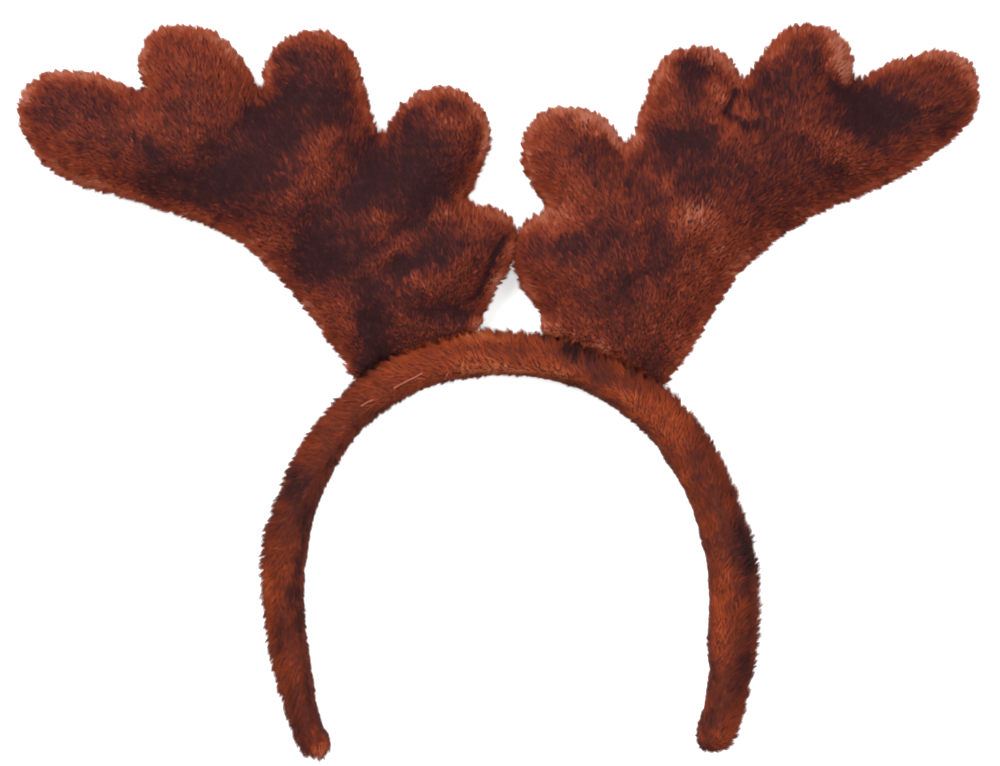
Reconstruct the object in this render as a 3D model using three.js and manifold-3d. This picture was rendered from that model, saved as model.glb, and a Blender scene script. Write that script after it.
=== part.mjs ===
// Plush reindeer antler headband, lying on its back.
// Millimetres. The front faces +Z, the crown of the band points to +Y, and +X is the right of someone
// who looks at the front. Left and right below are that viewer's. The origin is the middle of the
// bounding box, at its bottom.
import * as THREE from "three";
import { mergeVertices } from "three/addons/utils/BufferGeometryUtils.js";
import Module from "manifold-3d";

const wasm = await Module();
wasm.setup();

// Driving dimensions of the band
const bandInnerWidth = 136.5; // widest opening, a little above the ends
const bandCrownRise = 75.5; // from the widest level up to the inside of the crown
const bandLegLength = 51.3; // from the widest level down to the left end
const bandTuck = 9.8; // how far the left end turns in
const bandThickness = 15.5; // across the sleeve at the crown, pile included
const bandDepth = 26; // front to back
const bandEndRound = 6; // length of each rounded end
const bandRestFlat = 0.8; // how far the back is pressed flat by what the band lies on

// Driving dimensions of the antlers
const antlerSpan = 169; // width of one antler
const antlerRise = 121.5; // height of one antler above its foot
const antlerThickness = 28; // stuffed palm, front to back
const antlerRoll = 18; // how far in from the seam the stuffing reaches its full thickness
const antlerFootLength = 41; // sewn length along the band
const antlerGap = 0.8; // between the two innermost tines
const antlerMeetOffset = 2.7; // from the middle of the band to where these tines meet

// Clearances and the fineness of the meshes
const sewnClearance = 0.3; // between sewn pieces
const outlineStep = 3.4;
const latticeStep = 5.6;
const bandSteps = 66;
const bandSides = 14;

// Rows of vertices that follow an antler's outline: distance from it, and the least distance between
// two of them as a share of outlineStep
const innerRows = [
  { inset: 1.6, spacing: 0.75 },
  { inset: 4.6, spacing: 0.55 },
];

const table = (columns, rows) =>
  rows.map((row) => Object.fromEntries(columns.map((column, i) => [column, row[i]])));

// The two halves of the arch. Fullness is the exponent of its curve, 2 for an ellipse; leg and tuck
// are shares of bandLegLength and bandTuck.
const archHalves = {
  left: { side: -1, fullness: 2.2, leg: 1.0, tuck: 1.0 },
  right: { side: 1, fullness: 2.06, leg: 0.96, tuck: 0.54 },
};

// The sleeve's cross-section and its rounded ends are superellipses with these exponents
const bandSquareness = 2.6;
const bandEndFullness = 2.6;
const bandEndShares = [0, 0.08, 0.25, 0.5, 0.8]; // rings of an end, as shares of bandEndRound
const bandEndLeast = 0.45; // size of the last ring, as a share of the full section

// Thickness of the sleeve, as a share of bandThickness, against the share of the way from the left
// end to the right end.
const bandSections = table(
  ["along", "thickness"],
  [
    [0.0, 0.74],
    [0.06, 0.77],
    [0.11, 0.86],
    [0.16, 0.94],
    [0.21, 1.02],
    [0.3, 0.97],
    [0.42, 1.0],
    [0.6, 1.0],
    [0.72, 1.03],
    [0.8, 1.09],
    [0.9, 1.09],
    [0.95, 0.98],
    [1.0, 0.85],
  ],
);

// Outline of each antler from the outer end of its foot, over its five tines, to the inner end.
// Out is the share of antlerSpan away from the other antler and up the share of antlerRise, both
// from the middle of the foot. A notch is a sharp turn, and every other point lies on a smooth run.
const outlineColumns = ["out", "up", "turn"];
const leftOutline = table(outlineColumns, [
  [0.148, -0.035, "outer edge"],
  [0.204, 0.065, "outer edge"],
  [0.264, 0.17, "outer edge"],
  [0.346, 0.27, "outer edge"],
  [0.452, 0.342, "outer edge"],
  [0.582, 0.403, "outer edge"],
  [0.698, 0.456, "tine 1"],
  [0.766, 0.531, "tine 1"],
  [0.798, 0.626, "tine 1"],
  [0.772, 0.72, "tine 1"],
  [0.712, 0.762, "tine 1"],
  [0.622, 0.745, "tine 1"],
  [0.544, 0.695, "notch"],
  [0.558, 0.776, "tine 2"],
  [0.532, 0.859, "tine 2"],
  [0.48, 0.887, "tine 2"],
  [0.416, 0.876, "tine 2"],
  [0.36, 0.801, "tine 2"],
  [0.3, 0.684, "notch"],
  [0.302, 0.765, "tine 3"],
  [0.268, 0.842, "tine 3"],
  [0.2, 0.876, "tine 3"],
  [0.136, 0.831, "tine 3"],
  [0.11, 0.731, "tine 3"],
  [0.074, 0.573, "notch"],
  [0.028, 0.673, "tine 4"],
  [-0.052, 0.72, "tine 4"],
  [-0.12, 0.673, "tine 4"],
  [-0.148, 0.576, "tine 4"],
  [-0.122, 0.465, "tine 4"],
  [-0.102, 0.392, "notch"],
  [-0.158, 0.376, "tine 5"],
  [-0.192, 0.326, "tine 5"],
  [-0.184, 0.226, "tine 5"],
  [-0.144, 0.12, "tine 5"],
]);
const rightOutline = table(outlineColumns, [
  [0.168, 0.003, "outer edge"],
  [0.212, 0.106, "outer edge"],
  [0.284, 0.242, "outer edge"],
  [0.398, 0.367, "outer edge"],
  [0.574, 0.478, "outer edge"],
  [0.688, 0.586, "tine 1"],
  [0.74, 0.681, "tine 1"],
  [0.732, 0.786, "tine 1"],
  [0.668, 0.834, "tine 1"],
  [0.578, 0.806, "tine 1"],
  [0.486, 0.742, "notch"],
  [0.498, 0.814, "tine 2"],
  [0.456, 0.889, "tine 2"],
  [0.394, 0.911, "tine 2"],
  [0.326, 0.848, "tine 2"],
  [0.274, 0.75, "notch"],
  [0.25, 0.814, "tine 3"],
  [0.198, 0.848, "tine 3"],
  [0.132, 0.836, "tine 3"],
  [0.092, 0.764, "tine 3"],
  [0.068, 0.675, "tine 3"],
  [0.046, 0.575, "notch"],
  [0.0, 0.645, "tine 4"],
  [-0.068, 0.684, "tine 4"],
  [-0.136, 0.661, "tine 4"],
  [-0.168, 0.586, "tine 4"],
  [-0.166, 0.509, "tine 4"],
  [-0.116, 0.389, "notch"],
  [-0.154, 0.367, "tine 5"],
  [-0.18, 0.309, "tine 5"],
  [-0.172, 0.203, "tine 5"],
  [-0.136, 0.103, "tine 5"],
]);

// Folds of the front panels. Each runs from one place to another, given as in the outlines. Width is
// a share of antlerRoll, and depth of the thickness there, below zero for a ridge.
const foldColumns = ["fromOut", "fromUp", "toOut", "toUp", "width", "depth", "where"];
const leftFolds = table(foldColumns, [
  [0.3, 0.68, 0.42, 0.45, 0.42, 0.3, "under the notch of tines 2 and 3"],
  [0.07, 0.56, 0.1, 0.48, 0.25, 0.25, "under the notch of tines 3 and 4"],
  [0.14, 0.45, 0.2, 0.24, 0.46, 0.2, "valley down to the outer edge"],
  [-0.03, 0.3, 0.11, 0.14, 0.31, 0.22, "crease of the palm"],
  [-0.1, 0.39, -0.04, 0.35, 0.29, 0.25, "under the notch of tines 4 and 5"],
  [-0.17, 0.29, -0.12, 0.13, 0.25, 0.15, "inside the rim of tine 5"],
  [0.69, 0.66, 0.62, 0.64, 0.38, 0.12, "hollow of tine 1"],
  [0.2, 0.7, 0.21, 0.63, 0.42, 0.14, "hollow of tine 3"],
  [0.05, 0.02, 0.08, -0.07, 0.31, 0.22, "pit over the foot"],
  [0.16, 0.56, 0.26, 0.46, 0.29, -0.1, "ridge below tine 3"],
  [0.21, 0.4, 0.31, 0.38, 0.27, -0.08, "ridge of the palm"],
  [-0.07, 0.26, 0.05, 0.15, 0.27, -0.1, "ridge beside the crease"],
]);
const rightFolds = table(foldColumns, [
  [0.27, 0.74, 0.24, 0.65, 0.25, 0.28, "under the notch of tines 3 and 2"],
  [0.23, 0.65, 0.32, 0.61, 0.23, 0.18, "crease across its lower end"],
  [0.49, 0.73, 0.53, 0.66, 0.46, 0.28, "under the notch of tines 2 and 1"],
  [0.39, 0.56, 0.45, 0.49, 0.35, 0.18, "valley of tine 1"],
  [0.4, 0.8, 0.46, 0.74, 0.25, 0.15, "crease of tine 2"],
  [0.05, 0.57, 0.16, 0.58, 0.35, 0.2, "under the notch of tines 4 and 3"],
  [0.18, 0.79, 0.18, 0.74, 0.38, 0.1, "hollow of tine 3"],
  [-0.03, 0.59, -0.04, 0.53, 0.35, 0.1, "hollow of tine 4"],
  [-0.11, 0.39, -0.05, 0.32, 0.33, 0.22, "under the notch of tines 5 and 4"],
  [0.1, -0.01, 0.07, 0.14, 0.42, 0.18, "valley over the foot"],
  [-0.08, 0.0, -0.03, 0.0, 0.31, 0.18, "pit over the foot"],
  [0.16, 0.41, 0.19, 0.33, 0.31, -0.1, "bump of the palm"],
  [0.4, 0.62, 0.5, 0.53, 0.25, -0.1, "ridge of tine 1"],
]);
const footPinch = { width: 0.8, depth: 0.35 }; // where the antler is gathered onto the band
const smoothingPasses = 2;

// Places on the band

const seamLevel = bandDepth / 2; // height of the antlers' seams, at the middle of the band's depth

function archHalfPoints(half) {
  const { side, fullness, leg, tuck } = half;
  const points = [];
  const legSteps = 6;
  const curveSteps = 20;
  for (let i = legSteps; i > 0; i -= 1) {
    const down = i / legSteps;
    const out = bandInnerWidth / 2 - bandTuck * tuck * down ** 2;
    points.push(new THREE.Vector3(side * out, -bandLegLength * leg * down, 0));
  }
  for (let i = 0; i <= curveSteps; i += 1) {
    const angle = (Math.PI / 2) * (1 - i / curveSteps);
    const out = (bandInnerWidth / 2) * Math.sin(angle) ** (2 / fullness);
    const up = bandCrownRise * Math.cos(angle) ** (2 / fullness);
    points.push(new THREE.Vector3(side * out, up, 0));
  }
  return points;
}

// The inner edge of the band, from the left end to the right one
function innerEdge() {
  const left = archHalfPoints(archHalves.left);
  const right = archHalfPoints(archHalves.right);
  return new THREE.CatmullRomCurve3([...left, ...right.reverse().slice(1)], false, "centripetal");
}
const edge = innerEdge();
edge.arcLengthDivisions = 400;
const bandLength = edge.getLength();

function bandThicknessAt(along) {
  const next = Math.max(1, bandSections.findIndex((row) => row.along >= along));
  const [a, b] = [bandSections[next - 1], bandSections[next]];
  const share = THREE.MathUtils.smoothstep(along, a.along, b.along);
  return bandThickness * THREE.MathUtils.lerp(a.thickness, b.thickness, share);
}

// A point of the band's plan: how far along it, and what share of its thickness out from the head
function bandPlace(along, outward) {
  const point = edge.getPointAt(along);
  const tangent = edge.getTangentAt(along);
  const reach = bandThicknessAt(along) * outward;
  return new THREE.Vector2(point.x - tangent.y * reach, point.y + tangent.x * reach);
}

// How far along the band its outer edge is at a given x, near the crown
function alongAtX(x) {
  let [low, high] = [0.25, 0.75];
  for (let i = 0; i < 40; i += 1) {
    const middle = (low + high) / 2;
    if (bandPlace(middle, 1).x < x) low = middle;
    else high = middle;
  }
  return (low + high) / 2;
}

// The band

// One cross-section as points of u, outwards from the head, and z. It is a rounded oblong pressed
// flat at the bottom. Grow makes it larger all round.
function bandSection(thickness, shrink, grow) {
  const middle = bandDepth / 2 - bandRestFlat;
  const rounded = (value) => Math.sign(value) * Math.abs(value) ** (2 / bandSquareness);
  const points = [];
  for (let i = 0; i < bandSides; i += 1) {
    const angle = ((i + 0.5) / bandSides) * 2 * Math.PI;
    const u = thickness / 2 + (thickness / 2 + grow) * shrink * rounded(Math.sin(angle));
    const z = middle - (bandDepth / 2 + grow) * shrink * rounded(Math.cos(angle));
    points.push({ u, z: Math.max(-grow, z) });
  }
  return points;
}

// Rings of the band with the share by which each is drawn in near the rounded ends
function bandStations() {
  const roundness = (share) => (1 - (1 - share) ** bandEndFullness) ** (1 / bandEndFullness);
  const ends = bandEndShares.map((share) => ({
    along: (share * bandEndRound) / bandLength,
    shrink: Math.max(bandEndLeast, roundness(share)),
  }));
  const first = bandEndRound / bandLength;
  const middle = Array.from({ length: bandSteps + 1 }, (_, i) => ({
    along: first + ((1 - 2 * first) * i) / bandSteps,
    shrink: 1,
  }));
  const mirrored = ends.map(({ along, shrink }) => ({ along: 1 - along, shrink })).reverse();
  return [...ends, ...middle, ...mirrored];
}

function bandGeometry(grow) {
  const stations = bandStations();
  const vertices = [];
  for (const { along, shrink } of stations) {
    const thickness = bandThicknessAt(along);
    for (const { u, z } of bandSection(thickness, shrink, grow)) {
      const place = bandPlace(along, u / thickness);
      vertices.push(place.x, place.y, z);
    }
  }
  const faces = [];
  for (let ring = 0; ring + 1 < stations.length; ring += 1) {
    for (let i = 0; i < bandSides; i += 1) {
      const j = (i + 1) % bandSides;
      const [a, b] = [ring * bandSides + i, ring * bandSides + j];
      faces.push([a, b, b + bandSides], [a, b + bandSides, a + bandSides]);
    }
  }
  const last = (stations.length - 1) * bandSides;
  for (let i = 1; i + 1 < bandSides; i += 1) {
    faces.push([0, i + 1, i], [last, last + i, last + i + 1]);
  }
  return geometryOf(vertices, faces);
}

function geometryOf(vertices, faces) {
  const geometry = new THREE.BufferGeometry();
  geometry.setAttribute("position", new THREE.Float32BufferAttribute(vertices, 3));
  geometry.setIndex(faces.flat());
  return geometry;
}

// Solids, for the cuts

function solidOf(geometry) {
  const bare = geometry.clone();
  bare.deleteAttribute("normal");
  bare.deleteAttribute("uv");
  const merged = mergeVertices(bare, 1e-4);
  const vertProperties = new Float32Array(merged.attributes.position.array);
  const triVerts = new Uint32Array(merged.index.array);
  return new wasm.Manifold(new wasm.Mesh({ numProp: 3, vertProperties, triVerts }));
}

function geometryOfSolid(solid) {
  const mesh = solid.getMesh();
  const geometry = new THREE.BufferGeometry();
  geometry.setAttribute("position", new THREE.BufferAttribute(mesh.vertProperties, 3));
  geometry.setIndex(new THREE.BufferAttribute(mesh.triVerts, 1));
  return geometry;
}

// Outlines of the antlers

const antlerShapes = {
  left: { side: -1, outline: leftOutline, folds: leftFolds },
  right: { side: 1, outline: rightOutline, folds: rightFolds },
};

// An antler's foot. Its middle lies where the innermost tine stops at half the gap from the place
// where the two antlers meet, and its ends are sunk to the middle of the band's thickness.
function footOf({ side, outline }) {
  const innermost = Math.min(...outline.map((point) => point.out));
  const along = alongAtX(antlerMeetOffset + side * (antlerGap / 2 - innermost * antlerSpan));
  const half = antlerFootLength / 2 / bandLength;
  return {
    middle: bandPlace(along, 1),
    outer: bandPlace(along + side * half, 0.5),
    inner: bandPlace(along - side * half, 0.5),
  };
}

// Turns shares of span and rise, from the foot, into a place
function antlerPlace({ side }, foot, out, up) {
  return new THREE.Vector2(
    foot.middle.x + side * out * antlerSpan,
    foot.middle.y + up * antlerRise,
  );
}

// The closed outline as evenly spaced points, anticlockwise
function outlinePoints(antler, foot) {
  const runs = [[foot.outer]];
  for (const { out, up, turn } of antler.outline) {
    const place = antlerPlace(antler, foot, out, up);
    runs[runs.length - 1].push(place);
    if (turn === "notch") runs.push([place]);
  }
  runs[runs.length - 1].push(foot.inner);
  runs.push([foot.inner, foot.outer]);
  const points = runs.flatMap((run) => evenly(run));
  return THREE.ShapeUtils.isClockWise(points) ? points.reverse() : points;
}

// Points at even steps along a smooth curve through the given ones, without the last
function evenly(run) {
  const flat = run.map((point) => new THREE.Vector3(point.x, point.y, 0));
  const curve = new THREE.CatmullRomCurve3(flat, false, "centripetal");
  const steps = Math.max(1, Math.round(curve.getLength() / outlineStep));
  const spaced = curve.getSpacedPoints(steps).slice(0, -1);
  return spaced.map((point) => new THREE.Vector2(point.x, point.y));
}

function distanceToLine(point, from, to) {
  const line = new THREE.Line3(
    new THREE.Vector3(from.x, from.y, 0),
    new THREE.Vector3(to.x, to.y, 0),
  );
  const spot = new THREE.Vector3(point.x, point.y, 0);
  return line.closestPointToPoint(spot, true, new THREE.Vector3()).distanceTo(spot);
}

function distanceToOutline(point, outline) {
  return Math.min(
    ...outline.map((from, i) => distanceToLine(point, from, outline[(i + 1) % outline.length])),
  );
}

function insideOutline(point, outline) {
  let inside = false;
  outline.forEach((a, i) => {
    const b = outline[(i + 1) % outline.length];
    const crosses = a.y > point.y !== b.y > point.y;
    if (crosses && point.x < ((b.x - a.x) * (point.y - a.y)) / (b.y - a.y) + a.x) inside = !inside;
  });
  return inside;
}

// A net of triangles over an outline

const turnOf = (a, b, c) => (b.x - a.x) * (c.y - a.y) - (b.y - a.y) * (c.x - a.x);

function inCircle(a, b, c, p) {
  const [ax, ay, bx, by] = [a.x - p.x, a.y - p.y, b.x - p.x, b.y - p.y];
  const [cx, cy] = [c.x - p.x, c.y - p.y];
  const [a2, b2, c2] = [ax * ax + ay * ay, bx * bx + by * by, cx * cx + cy * cy];
  const value = a2 * (bx * cy - cx * by) - b2 * (ax * cy - cx * ay) + c2 * (ax * by - bx * ay);
  return value > 1e-7;
}

const hasEdge = ([a, b, c], from, to) =>
  (a === from && b === to) || (b === from && c === to) || (c === from && a === to);

class Net {
  constructor(outline) {
    this.points = [...outline];
    this.triangles = THREE.ShapeUtils.triangulateShape(outline, []);
  }

  insert(point) {
    const index = this.points.push(point) - 1;
    const home = this.triangles.findIndex(([a, b, c]) =>
      [[a, b], [b, c], [c, a]].every(
        ([from, to]) => turnOf(this.points[from], this.points[to], point) >= 0,
      ),
    );
    const [a, b, c] = this.triangles[home];
    this.triangles.splice(home, 1, [a, b, index], [b, c, index], [c, a, index]);
    this.turnEdge(a, b);
    this.turnEdge(b, c);
    this.turnEdge(c, a);
  }

  // Swaps the edge shared by two triangles where that makes them rounder
  turnEdge(from, to) {
    const near = this.triangles.findIndex((triangle) => hasEdge(triangle, from, to));
    const far = this.triangles.findIndex((triangle) => hasEdge(triangle, to, from));
    if (near < 0 || far < 0) return;
    const apex = this.triangles[near].find((v) => v !== from && v !== to);
    const across = this.triangles[far].find((v) => v !== from && v !== to);
    const [p, q, r, s] = [from, to, apex, across].map((v) => this.points[v]);
    if (!inCircle(p, q, r, s)) return;
    this.triangles[near] = [from, across, apex];
    this.triangles[far] = [across, to, apex];
    this.turnEdge(from, across);
    this.turnEdge(across, to);
  }
}

// Points inside an outline: rows that follow it, then an even lattice
function innerPoints(outline) {
  const points = [];
  const clearOf = (point, distance) => points.every((other) => other.distanceTo(point) > distance);
  for (const { inset, spacing } of innerRows) {
    outline.forEach((point, i) => {
      const before = outline[(i + outline.length - 1) % outline.length];
      const after = outline[(i + 1) % outline.length];
      const along = after.clone().sub(before).normalize();
      const place = new THREE.Vector2(point.x - along.y * inset, point.y + along.x * inset);
      const fits = insideOutline(place, outline) && distanceToOutline(place, outline) > inset * 0.9;
      if (fits && clearOf(place, spacing * outlineStep)) points.push(place);
    });
  }
  const margin = innerRows[innerRows.length - 1].inset + latticeStep / 2;
  for (const place of latticeOver(outline)) {
    const fits = insideOutline(place, outline) && distanceToOutline(place, outline) > margin;
    if (fits && clearOf(place, latticeStep * 0.6)) points.push(place);
  }
  return points;
}

function latticeOver(outline) {
  const box = new THREE.Box2().setFromPoints(outline);
  const rowStep = (latticeStep * Math.sqrt(3)) / 2;
  const places = [];
  for (let row = 0; box.min.y + row * rowStep < box.max.y; row += 1) {
    const shift = row % 2 ? latticeStep / 2 : 0;
    for (let x = box.min.x + shift; x < box.max.x; x += latticeStep) {
      places.push(new THREE.Vector2(x, box.min.y + row * rowStep));
    }
  }
  return places;
}

// Half of a stuffed antler

// Thickness above the seam at a distance from the outline: rolled like a cushion's edge
function cushionHeight(distance) {
  const share = Math.min(distance / antlerRoll, 1);
  return (antlerThickness / 2) * Math.sqrt(1 - (1 - share) ** 2);
}

// What the folds and the gathers at the foot leave of the thickness at a point
function foldFactor(antler, foot, folds, point) {
  let factor = 1;
  for (const fold of folds) {
    const from = antlerPlace(antler, foot, fold.fromOut, fold.fromUp);
    const to = antlerPlace(antler, foot, fold.toOut, fold.toUp);
    const share = distanceToLine(point, from, to) / (fold.width * antlerRoll);
    factor *= 1 - fold.depth * Math.exp(-(share ** 2));
  }
  const fromFoot = Math.max(0, distanceToLine(point, foot.outer, foot.inner) - bandThickness / 2);
  const pinch = Math.exp(-((fromFoot / (footPinch.width * antlerRoll)) ** 2));
  return factor * (1 - footPinch.depth * pinch);
}

// Evens out the heights of the inner points, so that no fold of the net shows
function smoothHeights(net, heights, fixedCount) {
  const neighbours = net.points.map(() => new Set());
  for (const [a, b, c] of net.triangles) {
    neighbours[a].add(b).add(c);
    neighbours[b].add(a).add(c);
    neighbours[c].add(a).add(b);
  }
  for (let pass = 0; pass < smoothingPasses; pass += 1) {
    const old = [...heights];
    for (let i = fixedCount; i < heights.length; i += 1) {
      const around = [...neighbours[i]].filter((n) => n >= fixedCount);
      const mean = around.reduce((sum, n) => sum + old[n], 0) / around.length;
      heights[i] = (old[i] + mean) / 2;
    }
  }
}

function antlerNet(antler) {
  const foot = footOf(antler);
  const outline = outlinePoints(antler, foot);
  const net = new Net(outline);
  for (const point of innerPoints(outline)) net.insert(point);
  return { net, outline, foot };
}

// One panel with its half of the stuffing. Facing is 1 for the front and -1 for the back, which is
// pressed flat where it rests.
function antlerHalf(antler, { net, outline, foot }, facing) {
  const folds = facing > 0 ? antler.folds : [];
  const edgeCount = outline.length;
  const heights = net.points.map((point, i) => {
    if (i < edgeCount) return 0;
    const height = cushionHeight(distanceToOutline(point, outline));
    return height * foldFactor(antler, foot, folds, point);
  });
  smoothHeights(net, heights, edgeCount);
  const seam = seamLevel + (facing * sewnClearance) / 2;
  const vertices = net.points.flatMap((point, i) => [
    point.x,
    point.y,
    Math.max(0, seam + facing * heights[i]),
  ]);
  const flat = THREE.ShapeUtils.triangulateShape(outline, []);
  const faces = [...net.triangles, ...flat.map(([a, b, c]) => [a, c, b])];
  const outward = facing > 0 ? faces : faces.map(([a, b, c]) => [a, c, b]);
  return geometryOf(vertices, outward);
}

// The pieces

const plush = (name, colour) =>
  new THREE.MeshStandardMaterial({ name, color: colour, roughness: 0.95, metalness: 0 });

function piece(name, geometry, material) {
  const mesh = new THREE.Mesh(geometry, material);
  mesh.name = name;
  geometry.computeVertexNormals();
  return mesh;
}

const headband = new THREE.Group();
headband.add(piece("band_sleeve", bandGeometry(0), plush("band plush", 0x75402f)));
const seat = solidOf(bandGeometry(sewnClearance));
for (const [name, antler] of Object.entries(antlerShapes)) {
  const shape = antlerNet(antler);
  for (const [panel, facing] of [["front", 1], ["back", -1]]) {
    const cut = solidOf(antlerHalf(antler, shape, facing)).subtract(seat);
    const material = plush(`${name} ${panel} plush`, facing > 0 ? 0x663026 : 0x5c2b22);
    headband.add(piece(`antler_${name}_${panel}`, geometryOfSolid(cut), material));
  }
}

// The origin goes to the middle of the bounding box, at its bottom
const box = new THREE.Box3().setFromObject(headband);
const centre = box.getCenter(new THREE.Vector3());
headband.position.set(-centre.x, -centre.y, -box.min.z);

export default headband;
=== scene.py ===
import math

import bpy
import numpy as np
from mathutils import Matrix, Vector
from mathutils.kdtree import KDTree


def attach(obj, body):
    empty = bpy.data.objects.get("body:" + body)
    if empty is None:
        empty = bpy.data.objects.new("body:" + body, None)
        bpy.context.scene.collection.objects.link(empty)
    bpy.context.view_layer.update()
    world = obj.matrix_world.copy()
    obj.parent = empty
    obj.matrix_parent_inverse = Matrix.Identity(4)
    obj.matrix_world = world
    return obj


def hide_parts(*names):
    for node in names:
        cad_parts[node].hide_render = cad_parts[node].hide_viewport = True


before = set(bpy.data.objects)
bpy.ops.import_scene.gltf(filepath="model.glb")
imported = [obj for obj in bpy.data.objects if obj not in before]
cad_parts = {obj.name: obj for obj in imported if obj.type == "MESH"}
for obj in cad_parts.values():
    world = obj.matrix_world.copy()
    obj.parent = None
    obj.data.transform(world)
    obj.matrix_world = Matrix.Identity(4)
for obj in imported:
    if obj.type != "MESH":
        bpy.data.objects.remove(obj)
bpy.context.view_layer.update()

# Plush reindeer antler headband, lying on its back. Lengths are in metres, and MM turns millimetres
# into them. The front faces +Z, the crown of the band points to +Y, and +X is the viewer's right.
MM = 0.001
BODY = "root"
LEFT_NODES = ("antler_left_front", "antler_left_back")
RIGHT_NODES = ("antler_right_front", "antler_right_back")
BAND_NODES = ("band_sleeve",)
SEAM_LEVEL = 13 * MM  # height of the antlers' side seams

# The stuffed bodies under the pile
CORE_VOXEL = 1.7 * MM
SEAM_OVERLAP = 0.25 * MM  # closes the gap between the two halves of an antler before the remesh
SEAM_REACH = 1.2 * SEAM_OVERLAP  # points this near the seam are drawn across it
CORE_RELAX = 2  # times that a body is smoothed after the remesh
LEAST_HEIGHT = 0.5 * MM  # of a body over what the headband lies on
CLOTH_FRAMES = 20
CLOTH_PRESSURE = 1500.0
CLOTH_MASS = 0.01
CLOTH_STIFFNESS = 8
CLOTH_BENDING = 0.1
CLOTH_CAP = 1.4 * MM  # the furthest that the stuffing moves the plush
RIM_FACING = 0.4  # parts of a body that face up or down by less than this are held at the seam
FOLD_DEPTH = 2.2 * MM  # how far a fold with a tone of one sinks or rises
BROAD_ROW = 3  # millimetres. Rows at least this wide are frayed

# The pile. Length is along a strand, lean the share of its direction that lies along the nap, width
# the radius of its root, clump the size of a tuft, and gather how far its tips draw together. These
# have a second value for the rims, where the tufts stand out against what is behind. The rim light
# entry is painted light: how much lighter the tufts round the outline are coloured, in place of the
# light that comes through the fibres. Through is how far that light turns their shading, and
# rim_length how many times as long as elsewhere the tufts are. Jitter is how far a tip lies from its
# place, and stray how far a tuft turns from the nap. Tuft_tone and mottle are how much the tone
# differs between tufts and between small patches, and short is the share of its length that the pile
# loses where the nap runs into the surface.
ANTLER_PILE = {
    "length": 2.2 * MM, "width": 0.22 * MM, "lean": 0.7, "rim_lean": 0.62, "jitter": 0.08 * MM,
    "clump": 1.2 * MM, "rim_clump": 3.5 * MM, "gather": 0.55, "rim_gather": 0.55, "stray": 0.2,
    "tuft_tone": 0.105, "painted_rim_light": 0.24, "through": 0.9, "rim_length": (1.0, 1.65),
    "mottle": 0.055, "short": 0.22,
}
BAND_PILE = {
    "length": 3.2 * MM, "width": 0.24 * MM, "lean": 0.88, "rim_lean": 0.75, "jitter": 0.2 * MM,
    "clump": 1.0 * MM, "rim_clump": 2.6 * MM, "gather": 0.3, "rim_gather": 0.45, "stray": 0.26,
    "tuft_tone": 0.05, "painted_rim_light": 0, "through": 0.2, "rim_length": (0.92, 1.35),
    "mottle": 0.03, "short": 0.42,
}
CLUMP_DOME = 0.4  # how much shorter the strands are at the side of a tuft
RIM_DOME = 0.8  # the same at the rims
TUFT_TOP = 1.15  # how long the strands are in the middle of a tuft
PAINTED_RIM_REACH = 2.0 * MM  # how far from the outline the painted light of the rims reaches
FOOT_NEAR = 1 * MM  # this near the band's outside the antlers keep their full size, as they are sewn on
FOOT_FAR = 7 * MM
PILE_SINK = 0.95  # share of the pile's height by which a body is smaller than the CAD solid
PILE_ROOT = 0.3 * MM  # how far a strand is sunk in the body
PILE_FLOOR = 0.15 * MM  # the least height of a strand over what the headband lies on
PAINTED_OFF_EDGE_LIGHT = 0.06  # painted light and shade: how much lighter a rim's tufts are coloured where the nap runs off the edge, and darker where it runs in
BASE_TONE = 0.42  # of the pile where no row changes it
ROW_CONTRAST = 1.35  # how strongly the rows' painted shade and light change it
SURFACE_SHADING = 0.93  # how far a strand is lit as the surface under it is
OWN_SHADING = 0.07  # and how far as a shape of its own
OUTLINE_FACING = 0.25  # a body's outline is where it faces up or down by less than this
TONE_RANGE = (0.03, 0.97)  # within the map

# Each strand has four triangles. The front of an antler has its strands in two pieces, for their number.
STRANDS_FRONT = 45000
STRANDS_FILL = 28000
STRANDS_BAND = 49000
STRANDS_BACK = 11500


# Arrays and meshes

def unit(vectors):
    length = np.linalg.norm(vectors, axis=-1, keepdims=True)
    return vectors / np.maximum(length, 1e-12)


def smoothstep(values, low, high):
    share = np.clip((values - low) / (high - low), 0, 1)
    return share * share * (3 - 2 * share)


def points_of(mesh):
    co = np.empty(len(mesh.vertices) * 3, np.float32)
    mesh.vertices.foreach_get("co", co)
    return co.reshape(-1, 3).astype(float)


def set_points(mesh, points):
    mesh.vertices.foreach_set("co", points.astype(np.float32).ravel())
    mesh.update()


def triangles_of(mesh):
    mesh.calc_loop_triangles()
    tri = np.empty(len(mesh.loop_triangles) * 3, np.int32)
    mesh.loop_triangles.foreach_get("vertices", tri)
    return tri.reshape(-1, 3)


def edges_of(mesh):
    edges = np.empty(len(mesh.edges) * 2, np.int32)
    mesh.edges.foreach_get("vertices", edges)
    return edges.reshape(-1, 2)


def normals_of(points, tri):
    a, b, c = points[tri[:, 0]], points[tri[:, 1]], points[tri[:, 2]]
    face = np.cross(b - a, c - a)
    total = np.zeros_like(points)
    for corner in range(3):
        np.add.at(total, tri[:, corner], face)
    return unit(total)


def relaxed(values, edges, passes):
    """Values drawn half way to the mean of their neighbours, as many times as there are passes."""
    count = np.zeros(len(values))
    np.add.at(count, edges[:, 0], 1)
    np.add.at(count, edges[:, 1], 1)
    for _ in range(passes):
        total = np.zeros_like(values)
        np.add.at(total, edges[:, 0], values[edges[:, 1]])
        np.add.at(total, edges[:, 1], values[edges[:, 0]])
        mean = total / count[:, None]
        values = values + 0.5 * (mean - values)
    return values


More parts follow.
